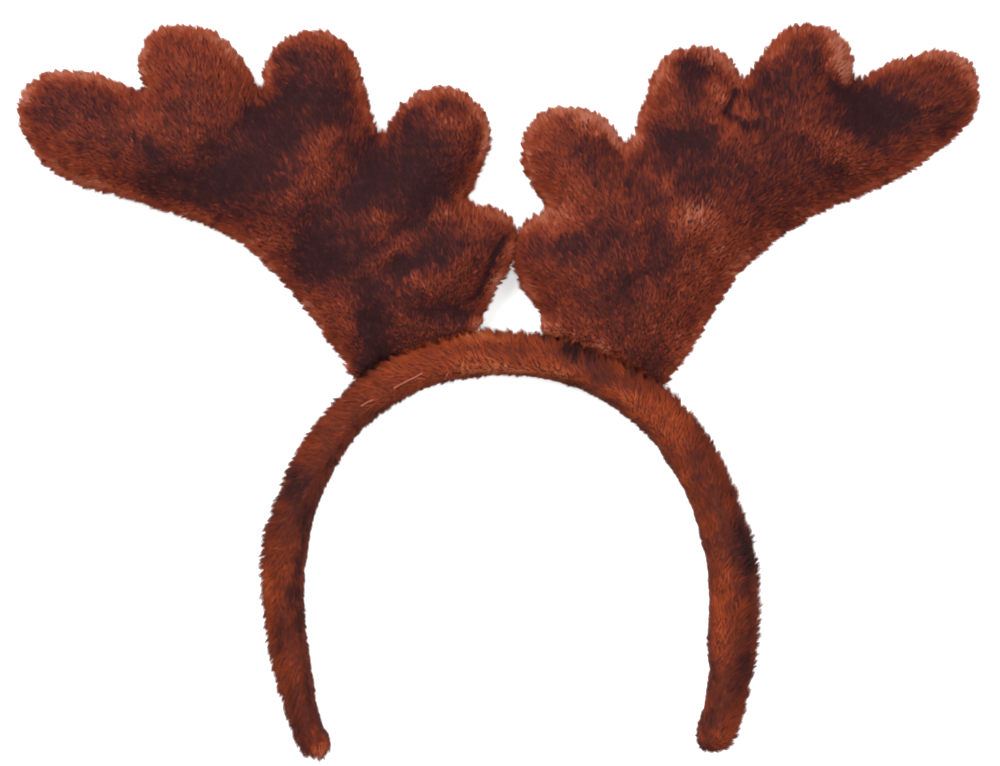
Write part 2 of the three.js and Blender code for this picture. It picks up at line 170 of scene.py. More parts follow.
def waves(points, rng, wavelength, number=9):
    """Smooth noise of about that wavelength, with a spread of one."""
    total = np.zeros(len(points))
    for _ in range(number):
        direction = unit(rng.normal(size=3))
        stretch = rng.uniform(0.75, 1.35)
        phase = rng.uniform(0, 2 * math.pi)
        total += np.sin(points @ direction * (2 * math.pi / (wavelength * stretch)) + phase)
    return total / math.sqrt(number / 2)


def tree_of(points):
    tree = KDTree(len(points))
    for i, point in enumerate(points):
        tree.insert(point, i)
    tree.balance()
    return tree


def mesh_object(name, points, faces):
    """A mesh in the scene. The faces are rows of corner numbers, all with as many corners."""
    mesh = bpy.data.meshes.new(name)
    mesh.vertices.add(len(points))
    mesh.vertices.foreach_set("co", points.astype(np.float32).ravel())
    mesh.loops.add(faces.size)
    mesh.loops.foreach_set("vertex_index", faces.astype(np.int32).ravel())
    mesh.polygons.add(len(faces))
    sides = faces.shape[1]
    mesh.polygons.foreach_set("loop_start", np.arange(len(faces), dtype=np.int32) * sides)
    mesh.update(calc_edges=True)
    mesh.validate()
    obj = bpy.data.objects.new(name, mesh)
    bpy.context.scene.collection.objects.link(obj)
    return obj


def apply_modifiers(obj):
    bpy.context.view_layer.update()
    shown = obj.evaluated_get(bpy.context.evaluated_depsgraph_get())
    mesh = bpy.data.meshes.new_from_object(shown)
    obj.modifiers.clear()
    old = obj.data
    obj.data = mesh
    bpy.data.meshes.remove(old)
    mesh.name = obj.name


# The lie of the pile. A nap takes points and the surface's normals there, and gives the way the
# strands lean.

def turned(vectors, angles):
    """Vectors turned about Z."""
    c, s = np.cos(angles), np.sin(angles)
    x = vectors[:, 0] * c - vectors[:, 1] * s
    y = vectors[:, 0] * s + vectors[:, 1] * c
    return np.column_stack([x, y, vectors[:, 2]])


def antler_nap(start, end, seed):
    """Start and end are places across the antler with the lean of the nap from straight up there."""
    def nap(points, normals):
        rng = np.random.default_rng(seed)
        places, leans = (start[0] * MM, end[0] * MM), np.radians((start[1], end[1]))
        angle = np.interp(points[:, 0], places, leans)
        angle = angle + 0.10 * waves(points, rng, 40 * MM) + 0.10 * waves(points, rng, 9 * MM)
        vectors = np.column_stack([np.sin(angle), np.cos(angle), np.zeros(len(points))])
        outward = normals * [1, 1, 0]
        return vectors + 0.3 * outward

    return nap


LEFT_NAP = antler_nap((-150, -38), (0, -16), 11)
RIGHT_NAP = antler_nap((15, -22), (150, 34), 12)

# The arch of the band, with the sizes that the solids have. Each half has a shape of its own: how
# full its shoulder is, how long its leg, and how far the end of the leg tucks in.
BAND_MIDDLE = np.array([2.7, -70.4]) * MM
BAND_INNER_WIDTH = 136.5 * MM
BAND_CROWN_RISE = 75.5 * MM
BAND_LEG_LENGTH = 51.3 * MM
BAND_TUCK = 9.8 * MM
BAND_THICKNESS = 15.2 * MM
ARCH_HALVES = (
    {"side": -1, "fullness": 2.2, "leg": 1.0, "tuck": 1.0},
    {"side": 1, "fullness": 2.06, "leg": 0.96, "tuck": 0.54},
)
PATH_CHUNK = 8000  # points compared with the band's path at a time


def arch_half(side, fullness, leg, tuck):
    down = np.arange(8, 0, -1) / 8
    leg_x = side * (BAND_INNER_WIDTH / 2 - BAND_TUCK * tuck * down**2)
    leg_y = -BAND_LEG_LENGTH * leg * down
    angle = np.linspace(math.pi / 2, 0, 31)
    arch_x = side * BAND_INNER_WIDTH / 2 * np.sin(angle) ** (2 / fullness)
    arch_y = BAND_CROWN_RISE * np.clip(np.cos(angle), 0, 1) ** (2 / fullness)
    return np.column_stack([np.append(leg_x, arch_x), np.append(leg_y, arch_y)])


def band_path():
    """Points along the middle of the band's sleeve, from the left end to the right one."""
    left, right = (arch_half(**half) for half in ARCH_HALVES)
    inner = np.vstack([left, right[::-1][1:]]) + BAND_MIDDLE
    tangent = unit(np.gradient(inner, axis=0))
    outward = np.column_stack([-tangent[:, 1], tangent[:, 0]])
    return inner + outward * BAND_THICKNESS / 2


BAND_PATH = band_path()


def band_places(points):
    """For each point, the band's direction there, the way out from the head, how far out it is and
    how far along, from 0 at the left end to 1 at the right one."""
    steps = np.diff(BAND_PATH, axis=0)
    length = np.linalg.norm(steps, axis=1)
    start = np.append(0, np.cumsum(length))
    tangents = unit(np.gradient(BAND_PATH, axis=0))
    tangent = np.empty((len(points), 3))
    along = np.empty(len(points))
    out = np.empty(len(points))
    for first in range(0, len(points), PATH_CHUNK):
        chunk = slice(first, first + PATH_CHUNK)
        part = points[chunk, :2]
        offset = part[:, None, :] - BAND_PATH[None, :-1]
        share = np.clip((offset * steps).sum(2) / length**2, 0, 1)
        gap = offset - share[..., None] * steps
        near = np.argmin((gap**2).sum(2), axis=1)
        row = np.arange(len(part))
        s = share[row, near]
        t = unit(tangents[near] * (1 - s[:, None]) + tangents[near + 1] * s[:, None])
        tangent[chunk] = np.column_stack([t, np.zeros(len(part))])
        along[chunk] = (start[near] + s * length[near]) / start[-1]
        out[chunk] = (gap[row, near] * np.column_stack([-t[:, 1], t[:, 0]])).sum(1)
    outward = np.column_stack([-tangent[:, 1], tangent[:, 0], np.zeros(len(points))])
    return tangent, outward, out, along


def out_of_band(points):
    """How far outside the band's outer edge each point is."""
    _, _, out, _ = band_places(points)
    return out - BAND_THICKNESS / 2


def band_nap(points, normals):
    """Down the band and outwards, and more outwards on the crown."""
    rng = np.random.default_rng(13)
    tangent, outward, out, along = band_places(points)
    across = out / (BAND_THICKNESS / 2)
    spread = 0.4 + np.where(across > 0, 0.75 * across, -0.4 * across)
    crown = 1 - np.clip(np.abs(along - 0.5) / 0.3, 0, 1)
    spread = spread * (0.95 + 2.2 * crown)
    vectors = unit(-tangent + spread[:, None] * outward)
    swirl = 0.22 * waves(points, rng, 26 * MM) + 0.16 * waves(points, rng, 8 * MM)
    # On the inner side the strands lie closer to the band, so that the inner edge is smooth
    close = 1 + 1.6 * smoothstep(-across, 0, 0.7)
    return turned(vectors, swirl) * close[:, None]


def rim_share(normals):
    """One where a surface faces sideways, and none where it faces up or down."""
    return 1 - smoothstep(np.abs(normals[:, 2]), 0.35, 0.8)


def strand_ways(points, normals, nap, pile):
    """Directions of the strands, their lengths, and how far the nap runs off an edge there. Where it
    runs into the surface the pile is short and lies close, and where it runs off it is long."""
    way = nap(points, normals)
    off = (way * normals).sum(1)
    flat = way - off[:, None] * normals
    lean = pile["lean"] + (pile["rim_lean"] - pile["lean"]) * rim_share(normals)
    upright = np.sqrt(1 - lean**2)
    direction = unit(normals * upright[:, None] + flat * lean[:, None])
    length = pile["length"] * (0.92 + np.where(off > 0, 0.22, pile["short"]) * np.clip(off, -1, 1))
    return direction, length, np.clip(off, -1, 1)


# Tone: the rows paint shade into hollows, creases and pits, and light onto ridges, bumps and rims,
# with some of the pile's own patchy tone where its nap lies differently. Each row runs from (x0, y0) to
# (x1, y1), in millimetres of the frame, with its width, how light or dark it is, and what it is.
# Hollows also sink and ridges rise.
LEFT_FOLDS = (
    (-80, 97, -85, 87, 4, -0.25, "under the notch of tines 2 and 3"),
    (-70, 82, -92, 73, 8, -0.28, "valley below tine 3"),
    (-92, 72, -114, 71, 7, -0.25, "valley to the outer edge"),
    (-119, 82, -114, 80, 3.5, -0.20, "dimple of tine 1"),
    (-146, 96, -134, 94, 6, -0.12, "hollow of tine 1"),
    (-70, 98, -58, 96, 8, -0.35, "hollow of tine 3"),
    (-79, 92, -70, 84, 5, -0.15, "foot of tine 3"),
    (-63, 58, -61, 46, 7, -0.35, "valley of the palm"),
    (-60, 44, -48, 39, 5, -0.25, "end of that valley"),
    (-43, 84, -46, 66, 5, -0.15, "under the notch of tines 3 and 4"),
    (-28, 86, -23, 66, 9, -0.28, "hollow of tine 4"),
    (-40, 70, -26, 70, 8, -0.12, "foot of tine 4"),
    (-45, 35, -42, 24, 4, -0.25, "crease down to the foot"),
    (-41, 20, -42, 8, 6, -0.40, "gathers over the foot"),
    (-36, 30, -12, 25, 5, -0.25, "hollow along the band"),
    (1.5, 51, -8, 31, 1.4, -0.30, "seam of tine 5"),
    (-6, 88, -9, 68, 2.5, -0.25, "seam of tine 4"),
    (-34, 41, -20, 45, 4, -0.34, "between the ridges of tine 5"),
    (-148, 87, -145, 85, 4, 0.13, "tip of tine 1"),
    (-146, 77, -137, 72, 5, 0.10, "lower edge of tine 1"),
    (-118, 89, -115, 87, 4, 0.08, "between tines 1 and 2"),
    (-108, 112, -104, 100, 10, 0.03, "tine 2"),
    (-98, 114, -88, 98, 6, 0.05, "right side of tine 2"),
    (-66, 63, -64, 59, 4, 0.15, "foot of the ridge below tine 3"),
    (-68, 66, -62, 75, 4, 0.08, "ridge below tine 3"),
    (-56, 84, -58, 74, 4, 0.10, "beside that ridge"),
    (-40, 57, -41, 53, 4, 0.18, "bump of the palm"),
    (-47, 38, -18, 59, 2.2, 0.22, "ridge of tine 5"),
    (-30, 34, -11, 44, 4, 0.06, "second ridge of tine 5"),
    (-88, 56, -70, 47, 5, 0.08, "outer edge"),
    (-56, 26, -50, 18, 5, 0.08, "outer edge, lower down"),
    (-22, 90, -12, 88, 5, 0.08, "top of tine 4"),
    (-48, 64, -44, 48, 8, -0.22, "palm under tine 3"),
    (-100, 66, -82, 63, 7, -0.15, "outer edge below the valley"),
    (-40, 78, -38, 64, 6, -0.16, "palm under tine 4"),
    (-28, 94, -24, 88, 5, -0.04, "inner side of tine 4"),
    (-34, 96, -12, 102, 3, 0.14, "top of tine 4, rim"),
    (6, 52, -3, 31, 1.6, 0.10, "rim of tine 5 beyond its seam"),
    (-30, 14, -8, 21, 2.6, 0.13, "foot, against the band"),
    (-3, 91, -8, 70, 2.5, 0.42, "rim of tine 4 beyond its seam"),
    (-17, 57, -2, 55, 5, 0.10, "top of tine 5"),
    (-158, 105, -160, 98, 3, 0.26, "tip of tine 1, rim"),
    (-150, 107, -128, 104, 2.5, 0.18, "upper rim of tine 1"),
    (-122, 103, -121, 99, 3.5, -0.20, "notch of tines 1 and 2"),
    (-151, 92, -149, 90, 4, -0.08, "tip of tine 1, middle"),
    (-77, 108, -76, 101, 3.5, 0.20, "left side of tine 3"),
    (-74, 69, -70, 66, 4, -0.20, "beside the ridge below tine 3"),
    (-68, 62, -66, 60, 4, 0.10, "foot of that ridge"),
    (-69, 41, -66, 36, 4, -0.10, "outer edge of the palm"),
    (-27, 56, -11, 48, 6, -0.17, "face of tine 5"),
    (-30, 39, -25, 38, 3.5, -0.12, "face of tine 5, lower down"),
    (-25, 33, -20, 33, 3, 0.10, "under the face of tine 5"),
    (-37, 28, -33, 26, 4, 0.15, "towards the foot"),
    (-49, 20, -47, 14, 4, 0.08, "foot, outer side"),
    (-128, 96, -126, 88, 5, -0.09, "foot of tine 1"),
    (-8, 98, -4, 90, 2.5, 0.18, "shoulder of tine 4"),
    (-152, 102, -148, 103, 3, 0.11, "upper side of tine 1"),
    (-122, 103, -120, 98, 3, -0.10, "between tines 1 and 2"),
    (-112, 123, -110, 123, 2.5, -0.12, "left corner of tine 2"),
    (-119, 78, -118, 73, 3.5, 0.09, "foot of tine 1, lower side"),
    (-62, 37, -58, 33, 4, -0.09, "outer edge, lower part"),
    (-29, 35, -25, 34, 3, 0.10, "palm, over the foot"),
    (4, 50, -4, 34, 2, 0.12, "rim of tine 5, outer side"),
    (-36, 52, -28, 55, 4, -0.13, "palm beside the ridge"),
    (-36, 38, -33, 37, 4, -0.09, "palm below the ridge"),
    (-111, 95, -109, 93, 5, -0.10, "foot of tine 2"),
    (-18, 95, -17, 94, 4, -0.08, "middle of tine 4"),
    (-52, 95, -52, 82, 5, -0.08, "right side of tine 3, middle"),
    (-93, 57, -88, 55, 4, -0.08, "outer edge, upper part"),
    (-119, 117, -118, 114, 2.5, 0.11, "left side of tine 2, rim"),
    (-146, 71, -120, 65, 2.2, 0.12, "lower rim of tine 1"),
    (-112, 62, -98, 59, 2.2, 0.10, "lower rim of the palm"),
    (-80, 103, -76, 101, 2.5, 0.18, "between tines 2 and 3"),
    (-96, 118, -93, 111, 4, 0.09, "right side of tine 2, rim"),
    (-74, 114, -68, 111, 4, -0.17, "top of tine 3"),
    (-60, 108, -58, 105, 5, -0.08, "middle of tine 3"),
    (-46, 106, -46, 101, 2, 0.14, "right side of tine 3"),
    (-9, 22, -7, 21, 2.5, 0.16, "foot, inner corner"),
    (2, 58, 4, 56, 3, 0.10, "tip of tine 5"),
    (-19, 61, -15, 61, 3, 0.09, "under the notch of tines 4 and 5"),
)
RIGHT_FOLDS = (
    (67, 108, 68, 106, 5.5, -0.35, "hollow of tine 3"),
    (56, 84, 66, 84, 6, -0.35, "under the notch of tines 4 and 3"),
    (64, 100, 65, 93, 4, -0.12, "between those hollows"),
    (79, 99, 76, 93, 1.6, -0.50, "slit under the notch of tines 3 and 2"),
    (76, 92, 82, 88, 1.8, -0.40, "crease below the slit"),
    (82, 88, 88, 88, 1.6, -0.25, "end of that crease"),
    (104, 110, 115, 102, 3, -0.30, "crease of tine 2"),
    (118, 97, 130, 93, 7, -0.45, "under the notch of tines 2 and 1"),
    (130, 92, 148, 90, 6, -0.18, "lower side of tine 1"),
    (103, 82, 111, 74, 6, -0.16, "valley of tine 1"),
    (90, 102, 98, 101, 5, -0.15, "foot of tine 2"),
    (31, 87, 35, 80, 6, -0.15, "hollow of tine 4"),
    (52, 52, 54, 47, 5, -0.15, "dimple of the palm"),
    (44, 37, 52, 39, 4, -0.20, "dimple lower down"),
    (37, 34, 44, 30, 4, -0.15, "beside that dimple"),
    (53, 12, 53, 8, 4, -0.22, "gathers over the foot"),
    (22, 14, 27, 13, 4, -0.30, "pit over the foot"),
    (75, 74, 90, 68, 8, -0.15, "palm under tine 2"),
    (26, 52, 36, 53, 6, -0.12, "foot of tine 5"),
    (16, 57, 22, 56, 5, 0.15, "top of tine 5"),
    (17, 20, 36, 14, 2.6, 0.28, "foot, against the band"),
    (12, 48, 34, 47, 5.5, -0.16, "middle of tine 5"),
    (48, 74, 66, 72, 7, -0.18, "palm above the bump"),
    (86, 99, 92, 88, 7, -0.10, "foot of tine 2, inner side"),
    (74, 98, 75, 94, 3, 0.12, "beside the slit, lower down"),
    (98, 72, 102, 62, 5, -0.05, "towards the outer edge"),
    (15, 88, 26, 68, 8, 0.10, "inner side of tine 4"),
    (60, 61, 65, 57, 4.5, 0.32, "bump of the palm"),
    (71, 60, 76, 47, 5.5, 0.20, "beside that bump"),
    (79, 88, 85, 93, 3, 0.20, "between the creases"),
    (102, 88, 122, 77, 3.5, 0.12, "ridge of tine 1"),
    (115, 113, 117, 108, 4, 0.20, "shoulder of tine 2"),
    (20, 42, 24, 40, 5, 0.04, "inner edge"),
    (21, 27, 38, 17, 5, 0.06, "roll over the foot"),
    (63, 65, 72, 63, 4, -0.17, "palm above the bump, outer side"),
    (64, 41, 69, 37, 5, 0.12, "outer edge"),
    (142, 102, 151, 101, 6, -0.06, "tip of tine 1"),
    (74, 101, 76, 98, 3, 0.15, "beside the slit"),
    (41, 88, 46, 83, 5, 0.12, "under the notch of tines 4 and 3, upper side"),
    (22, 95, 30, 92, 3.5, 0.17, "top of tine 4"),
    (30, 92, 38, 85, 3.5, 0.22, "upper side of tine 4"),
    (22, 84, 26, 80, 5, -0.08, "middle of tine 4"),
    (36, 68, 48, 67, 5, -0.12, "foot of tine 4"),
    (51, 104, 56, 113, 4, 0.16, "inner side of tine 3"),
    (60, 118, 71, 118, 3, 0.30, "top of tine 3"),
    (74, 110, 75, 106, 3, 0.10, "outer side of tine 3"),
    (49, 90, 49, 86, 4, 0.12, "foot of tine 3, inner side"),
    (74, 89, 76, 86, 4, 0.12, "under the crease"),
    (92, 115, 94, 117, 4, 0.08, "inner side of tine 2"),
    (100, 123, 110, 122, 3, 0.14, "top of tine 2"),
    (112, 120, 118, 110, 3.5, 0.16, "shoulder of tine 2, rim"),
    (118, 104, 118, 101, 2.5, 0.12, "outer side of tine 2"),
    (136, 113, 154, 114, 3, 0.28, "upper rim of tine 1"),
    (155, 112, 160, 104, 3, 0.22, "rim of the tip of tine 1"),
    (114, 90, 126, 84, 5, -0.09, "below the dark notch"),
    (101, 89, 109, 80, 3, 0.05, "ridge beside the valley of tine 1"),
    (75, 55, 76, 52, 4, -0.10, "palm, outer side"),
    (61, 44, 61, 42, 3, -0.08, "dimple below the bump"),
    (58, 16, 58, 12, 5, 0.15, "foot, outer side"),
    (41, 22, 41, 18, 4, -0.08, "middle of the foot"),
    (66, 116, 77, 110, 3, 0.20, "top of tine 3, outer side"),
    (29, 88, 36, 87, 4, 0.17, "tine 4, upper side"),
    (80, 101, 78, 95, 3, 0.10, "between tines 2 and 3, inner side"),
    (117, 103, 119, 101, 2.5, 0.10, "foot of tine 2, outer side"),
    (129, 111, 133, 110, 3, -0.09, "upper side of tine 1"),
    (141, 118, 156, 112, 2, 0.13, "rim at the end of tine 1"),
    (119, 86, 125, 81, 4, -0.08, "tine 1, beside its hollow"),
    (90, 69, 98, 63, 3.5, 0.08, "outer part of the palm"),
    (53, 63, 59, 62, 3, -0.12, "upper side of the bump"),
    (24, 58, 26, 58, 2.5, 0.11, "over the foot of tine 5"),
    (78, 35, 81, 39, 2.5, -0.14, "outer edge, middle"),
    (112, 105, 114, 104, 3.5, 0.08, "tine 2, beside the notch"),
    (12, 51, 22, 54, 4, 0.10, "tine 5, upper side"),
    (16, 27, 16, 25, 3, -0.14, "foot, inner side"),
    (30, 28, 33, 26, 4, -0.11, "foot, middle"),
    (6, 42, 6, 40, 3, -0.10, "inner edge of tine 5"),
    (94, 55, 97, 55, 3, -0.10, "outer edge, upper part"),
    (102, 96, 102, 93, 4, -0.08, "foot of tine 2, middle"),
    (99, 109, 101, 107, 3, -0.10, "middle of tine 2"),
    (117, 87, 120, 85, 4, -0.08, "foot of tine 1, upper side"),
    (73, 59, 74, 57, 3, -0.10, "beside the bump, outer side"),
    (118, 114, 119, 109, 2.5, -0.32, "outer edge of tine 2"),
    (87, 111, 87, 109, 2, -0.14, "inner edge of tine 2"),
    (57, 104, 58, 102, 4, 0.15, "tine 3, beside its hollow"),
    (31, 88, 33, 81, 3, 0.09, "outer side of tine 4"),
    (109, 110, 116, 105, 4, 0.15, "tine 2, outer side"),
    (88, 113, 88, 110, 3, -0.10, "tine 2, inner edge"),
    (95, 119, 97, 121, 3, 0.09, "tine 2, inner shoulder"),
    (108, 89, 111, 88, 4, -0.10, "palm under the notch of tines 2 and 1"),
    (90, 83, 100, 83, 5, -0.07, "foot of tine 2, lower down"),
    (114, 78, 115, 77, 3, 0.08, "ridge of tine 1, lower down"),
    (50, 71, 58, 69, 4, 0.12, "palm under tine 3"),
    (58, 54, 65, 54, 4, 0.07, "under the bump"),
    (10, 35, 11, 32, 2.5, 0.12, "inner edge, lower down"),
)
BAND_FOLDS = (
    (-72, -57, -67, -118, 13, -0.08, "left leg"),
    (-66, -30, -66, -78, 3, -0.14, "inner side of the left leg"),
    (84, -40, 78, -100, 5, -0.09, "outer side of the right leg"),
    (24, 13, 28, 13, 3, -0.35, "pit at the right foot"),
    (41, 16, 52, 4, 2.5, -0.14, "crease at the right foot"),
    (-30, 13, 20, 14, 8, 0.03, "crown"),
    (-38, -3, -12, 6, 4, 0.14, "inner side of the crown, left"),
    (-12, 6, 22, 6, 4, 0.22, "inner side of the crown"),
    (26, 4, 44, -2, 4, 0.16, "inner side of the crown, right"),
    (50, -2, 62, -14, 5, 0.15, "right shoulder"),
    (76, -60, 76, -88, 5, 0.12, "inner side of the right leg"),
    (-73, -50, -71, -75, 4, 0.08, "middle of the left leg"),
    (-14, 14, 8, 13, 2.5, -0.10, "middle of the crown"),
    (-30, 17, 18, 19, 2.8, 0.28, "outer edge of the crown"),
    (-6, 7, 6, 7, 3, 0.10, "inner side of the crown, middle"),
    (42, -5, 55, -17, 3, 0.14, "inner side of the right shoulder"),
    (73, -45, 73, -80, 3, 0.10, "inner side of the right leg, upper part"),
    (79, -60, 79, -66, 4, -0.05, "middle of the right leg"),
    (86, -56, 86, -86, 2.5, -0.08, "outer edge of the right leg"),
    (80, -116, 74, -120, 4, 0.16, "right end"),
    (70, -108, 70, -112, 3, -0.10, "inner side of the right end"),
    (-58, -120, -66, -123, 3.5, 0.36, "left end"),
    (-73, -90, -72, -95, 4, 0.12, "outer side of the left end"),
    (-74, -74, -74, -78, 4, -0.06, "outer side of the left leg"),
    (-70, -24, -68, -32, 4, -0.05, "left shoulder"),
    (-66, -15, -62, -11, 3, 0.12, "outer edge of the left shoulder"),
    (30, 8, 51, 0, 4, -0.13, "under the right foot"),
    (43, 10, 47, 7, 3, 0.34, "at the right foot, outer side"),
    (23, 11, 27, 9, 3, -0.22, "pit at the right foot, lower side"),
    (-2, 6, 22, 4.5, 2.5, 0.13, "inner edge of the crown"),
    (-70, -18, -71, -27, 3, -0.10, "outer edge of the left shoulder, lower down"),
    (-78, -74, -77, -90, 2.5, 0.10, "outer edge of the left leg, lower down"),
    (81, -77, 81, -94, 4, -0.08, "outer half of the right leg"),
    (72, -82, 72, -87, 2.5, 0.12, "inner edge of the right leg"),
    (66, -42, 67, -48, 2.5, 0.10, "inner edge of the right leg, upper part"),
    (82, -36, 82, -40, 2.5, -0.10, "outer edge of the right leg, upper part"),
    (-58, -12, -57, -14, 4, -0.08, "left shoulder, inner side"),
    (65, -17, 81, -66, 4, -0.09, "right leg, upper part"),
    (-78, -60, -78, -80, 2.5, 0.24, "outer edge of the left leg, middle"),
    (61, -29, 69, -53, 2, 0.11, "inner edge of the right shoulder"),
    (74, -24, 77, -30, 3, 0.09, "outer side of the right shoulder"),
    (83, -48, 85, -56, 3, 0.11, "outer edge of the right leg"),
    (-46, 4, -30, 11, 5, 0.08, "under the left foot"),
    (-80, -34, -79, -72, 2, -0.10, "outer edge of the left leg"),
    (-68, -84, -67, -95, 3, 0.10, "inner side of the left leg, lower down"),
    (73, -108, 73, -111, 4, -0.08, "towards the right end"),
    (61, -26, 63, -30, 3, 0.10, "inner side of the right shoulder, lower down"),
    (-56, -4, -53, -1, 3, 0.15, "outer edge of the left shoulder, higher up"),
    (70, -13, 72, -19, 3, -0.12, "outer edge of the right shoulder"),
    (78, -31, 85, -60, 3, -0.22, "outer edge of the right shoulder, lower down"),
)


# Where the edges stand further out or in than the solids, in the same form. The last number is in
# millimetres.
LEFT_EDGES = (
    (-164, 95, -154, 110, 6, 1.5, "tip of tine 1"),
    (-152, 73, -144, 70, 7, 0.8, "tip of tine 1, lower side"),
    (-130, 66, -116, 61, 8, 0.4, "lower edge of tine 1"),
    (-118, 120, -112, 124, 4, 1.7, "corner of tine 2"),
    (-122, 103, -121, 109, 3, 1.1, "left side of tine 2"),
    (-92, 116, -86, 110, 6, 0.8, "right side of tine 2"),
    (-80, 104, -79.5, 97, 2.2, -2.6, "notch of tines 2 and 3"),
    (-78, 110, -73, 117, 5, 1.4, "left side of tine 3"),
    (-78, 105, -79, 99, 2.5, 0.8, "left side of tine 3, lower down"),
    (-47, 110, -46, 104, 5, 0.5, "right side of tine 3"),
    (-40, 91, -40, 86, 2.2, -1.1, "notch of tines 3 and 4"),
    (-34, 96, -30, 100, 5, 0.5, "left side of tine 4"),
    (-22, 104, -15, 103, 6, 0.7, "top of tine 4"),
    (-4, 88, -3, 82, 5, 0.3, "right side of tine 4"),
    (-62, 122, -60, 122, 3, 0.6, "top of tine 3"),
    (-70, 117, -69, 117, 3, -0.6, "shoulder of tine 3"),
    (-53, 11, -53, 9, 3, 1.0, "end of the foot"),
    (-155, 78, -154, 76, 3, 0.8, "tip of tine 1, lower corner"),
    (-9, 66, -13, 63, 2.2, -1.0, "notch of tines 4 and 5"),
    (4, 58, 6, 46, 5, 1.5, "tip of tine 5"),
    (2, 40, -2, 31, 4, 1.3, "right side of tine 5"),
    (-5, 24, -6, 20, 4, -2.3, "inner side of the foot"),
    (-76, 40, -66, 30, 7, 1.1, "outer edge"),
    (-57, 18, -53, 6, 5, 2.0, "outer edge at the foot"),
)
RIGHT_EDGES = (
    (8, 80, 9, 74, 6, 0.4, "inner side of tine 4"),
    (6, 54, 6, 46, 5, 1.4, "tip of tine 5"),
    (7, 40, 10, 32, 5, 1.5, "inner side of tine 5"),
    (14, 24, 14, 21, 3.5, -1.3, "inner side of the foot"),
    (43.5, 88, 43.5, 82, 2.5, -2.0, "notch of tines 4 and 3"),
    (53, 107, 53, 112, 5, 0.5, "inner side of tine 3"),
    (83, 109, 82, 104, 2.5, -1.4, "notch of tines 3 and 2"),
    (96, 118, 100, 124, 5, 0.9, "inner side of tine 2"),
    (121, 108, 120, 103, 3, -0.9, "notch of tines 2 and 1"),
    (127, 108, 133, 110, 5, 0.7, "upper side of tine 1"),
    (150, 115, 160, 104, 6, 0.6, "tip of tine 1"),
    (158, 92, 152, 84, 6, 1.0, "tip of tine 1, lower side"),
    (140, 74, 104, 57, 6, 1.3, "outer edge"),
    (98, 53, 88, 44, 6, 1.0, "outer edge, further down"),
    (72, 28, 64, 16, 6, 0.7, "outer edge at the foot"),
    (58, 5, 57, 2, 3, -1.0, "end of the foot"),
    (85, 109, 87, 113, 3, 1.3, "inner side of tine 2, lower down"),
    (79, 36, 79, 34, 3, 0.8, "outer edge, lower down"),
    (137, 113, 139, 113, 3, -0.5, "upper side of tine 1, outer part"),
    (10, 71, 14, 63, 3, 0.6, "inner side of tine 4, lower down"),
    (9, 60, 15, 57, 3, 0.6, "top of tine 5"),
    (39, 90, 42, 86, 2.5, -0.8, "notch of tines 4 and 3, inner side"),
)
BAND_EDGES = (
    (-32, 17, -10, 21, 4, 2.4, "outer side, over the foot of the left antler"),
    (70, -120, 66, -121, 4, 1.6, "right end"),
    (-62, -44, -50, -20, 5, -0.35, "inner side of the left shoulder"),
    (-46, -14, -24, -1, 5, -0.5, "inner side of the left crown"),
    (-65, -84, -62, -100, 4, 0.2, "inner side of the left leg"),
    (-60, -106, -59, -113, 4, -0.8, "inner side of the left end"),
    (-76, -30, -54, -3, 5, -0.3, "outer side of the left shoulder"),
    (-62, -125, -67, -123, 4, -0.4, "left end"),
    (70, -94, 70, -106, 4, -1.1, "inner side of the right end"),
    (80, -32, 84, -42, 4, -0.3, "outer side of the right shoulder, lower down"),
    (54, -2, 76, -26, 5, 0.7, "outer side of the right shoulder"),
    (86, -54, 82, -108, 5, 0.4, "outer side of the right leg"),
    (-80, -48, -74, -108, 5, 0.5, "outer side of the left leg"),
    (-6, 20, 14, 20, 4, 0.6, "outer side of the crown"),
    (-58, -119, -59, -122, 3, 0.8, "left end, inner corner"),
    (34, 0, 58, -22, 4, 0.3, "inner side of the right shoulder"),
    (58, -22, 68, -50, 4, 0.6, "inner side of the right shoulder, lower down"),
    (68, -50, 70, -84, 4, 0.25, "inner side of the right leg"),
    (-79, -50, -79, -66, 4, 0.5, "outer side of the left leg, upper part"),
    (86, -60, 85, -84, 4, 0.5, "outer side of the right leg, middle"),
    (-65, -60, -65, -68, 4, -0.3, "inner side of the left leg, upper part"),
)


def row_total(points, rows, drifted=None):
    """The rows' amounts at each point. Broad rows are read at the drifted points, which frays them."""
    total = np.zeros(len(points))
    for x0, y0, x1, y1, width, amount, _ in rows:
        start = np.array([x0, y0]) * MM
        step = np.array([x1 - x0, y1 - y0]) * MM
        frayed = drifted is not None and width >= BROAD_ROW
        offset = (drifted if frayed else points)[:, :2] - start
        share = np.clip(offset @ step / max(step @ step, 1e-12), 0, 1)
        gap = offset - share[:, None] * step
        total += amount * np.exp(-(gap**2).sum(1) / (width * MM) ** 2)
    return total


# The rows' amounts where a surface faces up. They set how deep the folds are, and in the pile they give
# the painted shade of hollows and the painted light of ridges and rims.
def fold_tones(points, normals, folds, drifted=None):
    return row_total(points, folds, drifted) * smoothstep(normals[:, 2], -0.1, 0.5)


# Materials

def linear(colour):
    """sRGB numbers from 0 to 255 as linear ones."""
    share = np.array(colour) / 255
    low = share / 12.92
    high = ((share + 0.055) / 1.055) ** 2.4
    return (*np.where(share <= 0.04045, low, high), 1.0)


def new_material(name):
    material = bpy.data.materials.new(name)
    material.use_nodes = True
    nodes = material.node_tree.nodes
    nodes.clear()
    shader = nodes.new("ShaderNodeBsdfPrincipled")
    output = nodes.new("ShaderNodeOutputMaterial")
    material.node_tree.links.new(shader.outputs["BSDF"], output.inputs["Surface"])
    return material, nodes, material.node_tree.links, shader


